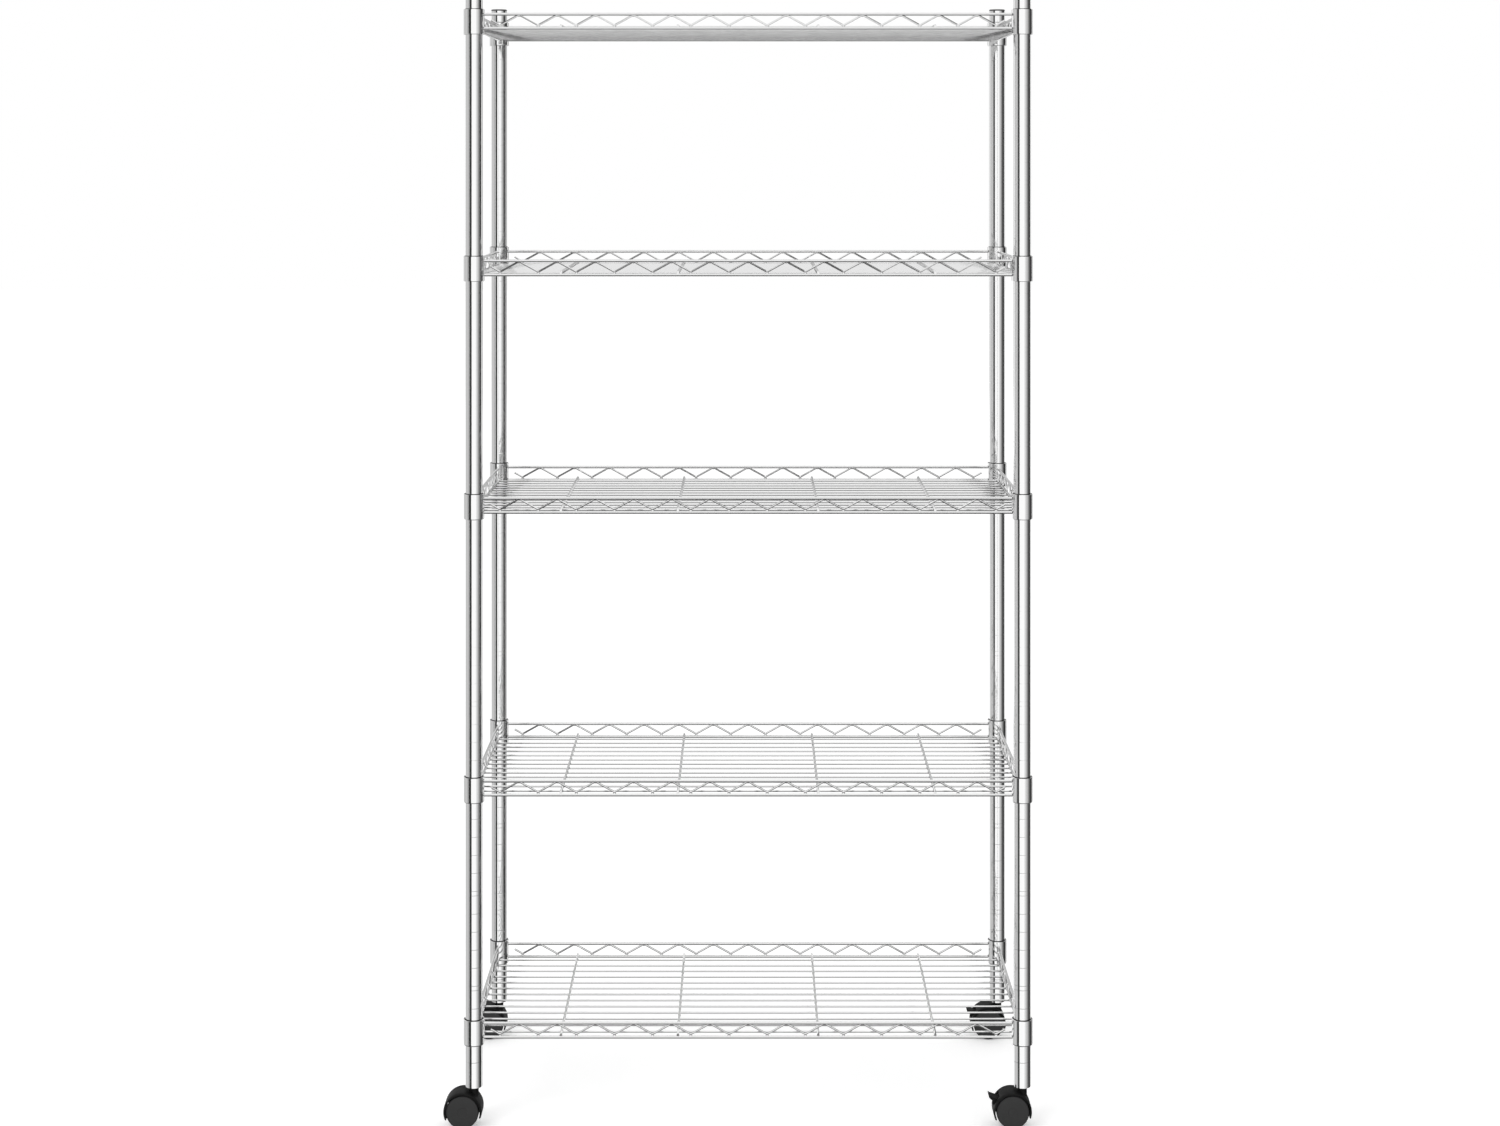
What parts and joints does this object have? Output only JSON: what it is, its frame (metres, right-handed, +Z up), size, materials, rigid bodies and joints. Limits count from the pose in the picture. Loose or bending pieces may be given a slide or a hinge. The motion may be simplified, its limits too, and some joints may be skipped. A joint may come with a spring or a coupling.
{
  "type": "wire shelving rack",
  "caption": "Chrome wire shelving rack: round posts carry welded wire tiers with raised zigzag ledges, on swivelling twin-wheel casters, two with brake levers.",
  "frame": {"origin": "on the floor, at the middle of the outer box with the casters trailing to -X", "axes": "+X along the shelves to the right seen from the front, +Y from front to back, +Z up"},
  "size_m": [0.7921, 0.358, 1.5215],
  "materials": {
    "chrome": "polished chrome plate",
    "plated_steel": "zinc plated steel",
    "caster_nylon": "fine satin",
    "wheel_plastic": "matte",
    "cap_plastic": "satin",
    "sleeve_plastic": "matte"
  },
  "bodies": {
    "frame": {"post_lower_front_left": "chrome", "post_upper_front_left": "chrome", "post_cap_front_left": "cap_plastic", "caster_stem_front_left": "plated_steel", "post_lower_front_right": "chrome", "post_upper_front_right": "chrome", "post_cap_front_right": "cap_plastic", "caster_stem_front_right": "plated_steel", "post_lower_back_left": "chrome", "post_upper_back_left": "chrome", "post_cap_back_left": "cap_plastic", "caster_stem_back_left": "plated_steel", "post_lower_back_right": "chrome", "post_upper_back_right": "chrome", "post_cap_back_right": "cap_plastic", "caster_stem_back_right": "plated_steel", "shelf_1": "chrome", "sleeve_1_front_left": "sleeve_plastic", "sleeve_1_front_right": "sleeve_plastic", "sleeve_1_back_left": "sleeve_plastic", "sleeve_1_back_right": "sleeve_plastic", "shelf_2": "chrome", "sleeve_2_front_left": "sleeve_plastic", "sleeve_2_front_right": "sleeve_plastic", "sleeve_2_back_left": "sleeve_plastic", "sleeve_2_back_right": "sleeve_plastic", "shelf_3": "chrome", "sleeve_3_front_left": "sleeve_plastic", "sleeve_3_front_right": "sleeve_plastic", "sleeve_3_back_left": "sleeve_plastic", "sleeve_3_back_right": "sleeve_plastic", "shelf_4": "chrome", "sleeve_4_front_left": "sleeve_plastic", "sleeve_4_front_right": "sleeve_plastic", "sleeve_4_back_left": "sleeve_plastic", "sleeve_4_back_right": "sleeve_plastic", "shelf_5": "chrome", "sleeve_5_front_left": "sleeve_plastic", "sleeve_5_front_right": "sleeve_plastic", "sleeve_5_back_left": "sleeve_plastic", "sleeve_5_back_right": "sleeve_plastic"},
    "caster_front_left": {"caster_hood_front_left": "caster_nylon", "caster_axle_front_left": "plated_steel"},
    "wheel_front_left_near": {"caster_wheel_front_left_near": "wheel_plastic"},
    "wheel_front_left_far": {"caster_wheel_front_left_far": "wheel_plastic"},
    "caster_front_right": {"caster_hood_front_right": "caster_nylon", "caster_axle_front_right": "plated_steel"},
    "wheel_front_right_near": {"caster_wheel_front_right_near": "wheel_plastic"},
    "wheel_front_right_far": {"caster_wheel_front_right_far": "wheel_plastic"},
    "brake_front_right": {"brake_lever_front_right": "caster_nylon"},
    "caster_back_left": {"caster_hood_back_left": "caster_nylon", "caster_axle_back_left": "plated_steel"},
    "wheel_back_left_near": {"caster_wheel_back_left_near": "wheel_plastic"},
    "wheel_back_left_far": {"caster_wheel_back_left_far": "wheel_plastic"},
    "caster_back_right": {"caster_hood_back_right": "caster_nylon", "caster_axle_back_right": "plated_steel"},
    "wheel_back_right_near": {"caster_wheel_back_right_near": "wheel_plastic"},
    "wheel_back_right_far": {"caster_wheel_back_right_far": "wheel_plastic"},
    "brake_back_right": {"brake_lever_back_right": "caster_nylon"}
  },
  "joints": [
    {"name": "swivel_front_left", "type": "hinge", "parent": "frame", "child": "caster_front_left", "pos_m": [-0.35623, -0.162, 0.045], "axis": [0, 0, 1], "continuous": true},
    {"name": "roll_front_left_near", "type": "hinge", "parent": "caster_front_left", "child": "wheel_front_left_near", "pos_m": [-0.37023, -0.174, 0.022], "axis": [0, 1, 0], "continuous": true},
    {"name": "roll_front_left_far", "type": "hinge", "parent": "caster_front_left", "child": "wheel_front_left_far", "pos_m": [-0.37023, -0.15, 0.022], "axis": [0, 1, 0], "continuous": true},
    {"name": "swivel_front_right", "type": "hinge", "parent": "frame", "child": "caster_front_right", "pos_m": [0.38198, -0.162, 0.045], "axis": [0, 0, 1], "continuous": true},
    {"name": "roll_front_right_near", "type": "hinge", "parent": "caster_front_right", "child": "wheel_front_right_near", "pos_m": [0.36797, -0.174, 0.022], "axis": [0, 1, 0], "continuous": true},
    {"name": "roll_front_right_far", "type": "hinge", "parent": "caster_front_right", "child": "wheel_front_right_far", "pos_m": [0.36797, -0.15, 0.022], "axis": [0, 1, 0], "continuous": true},
    {"name": "brake_front_right", "type": "hinge", "parent": "caster_front_right", "child": "brake_front_right", "pos_m": [0.3522, -0.162, 0.03346], "axis": [0, -1, 0], "range_deg": [0, 12]},
    {"name": "swivel_back_left", "type": "hinge", "parent": "frame", "child": "caster_back_left", "pos_m": [-0.35623, 0.162, 0.045], "axis": [0, 0, 1], "continuous": true},
    {"name": "roll_back_left_near", "type": "hinge", "parent": "caster_back_left", "child": "wheel_back_left_near", "pos_m": [-0.37023, 0.15, 0.022], "axis": [0, 1, 0], "continuous": true},
    {"name": "roll_back_left_far", "type": "hinge", "parent": "caster_back_left", "child": "wheel_back_left_far", "pos_m": [-0.37023, 0.174, 0.022], "axis": [0, 1, 0], "continuous": true},
    {"name": "swivel_back_right", "type": "hinge", "parent": "frame", "child": "caster_back_right", "pos_m": [0.38198, 0.162, 0.045], "axis": [0, 0, 1], "continuous": true},
    {"name": "roll_back_right_near", "type": "hinge", "parent": "caster_back_right", "child": "wheel_back_right_near", "pos_m": [0.36797, 0.15, 0.022], "axis": [0, 1, 0], "continuous": true},
    {"name": "roll_back_right_far", "type": "hinge", "parent": "caster_back_right", "child": "wheel_back_right_far", "pos_m": [0.36797, 0.174, 0.022], "axis": [0, 1, 0], "continuous": true},
    {"name": "brake_back_right", "type": "hinge", "parent": "caster_back_right", "child": "brake_back_right", "pos_m": [0.3522, 0.162, 0.03346], "axis": [0, -1, 0], "range_deg": [0, 12]}
  ]
}
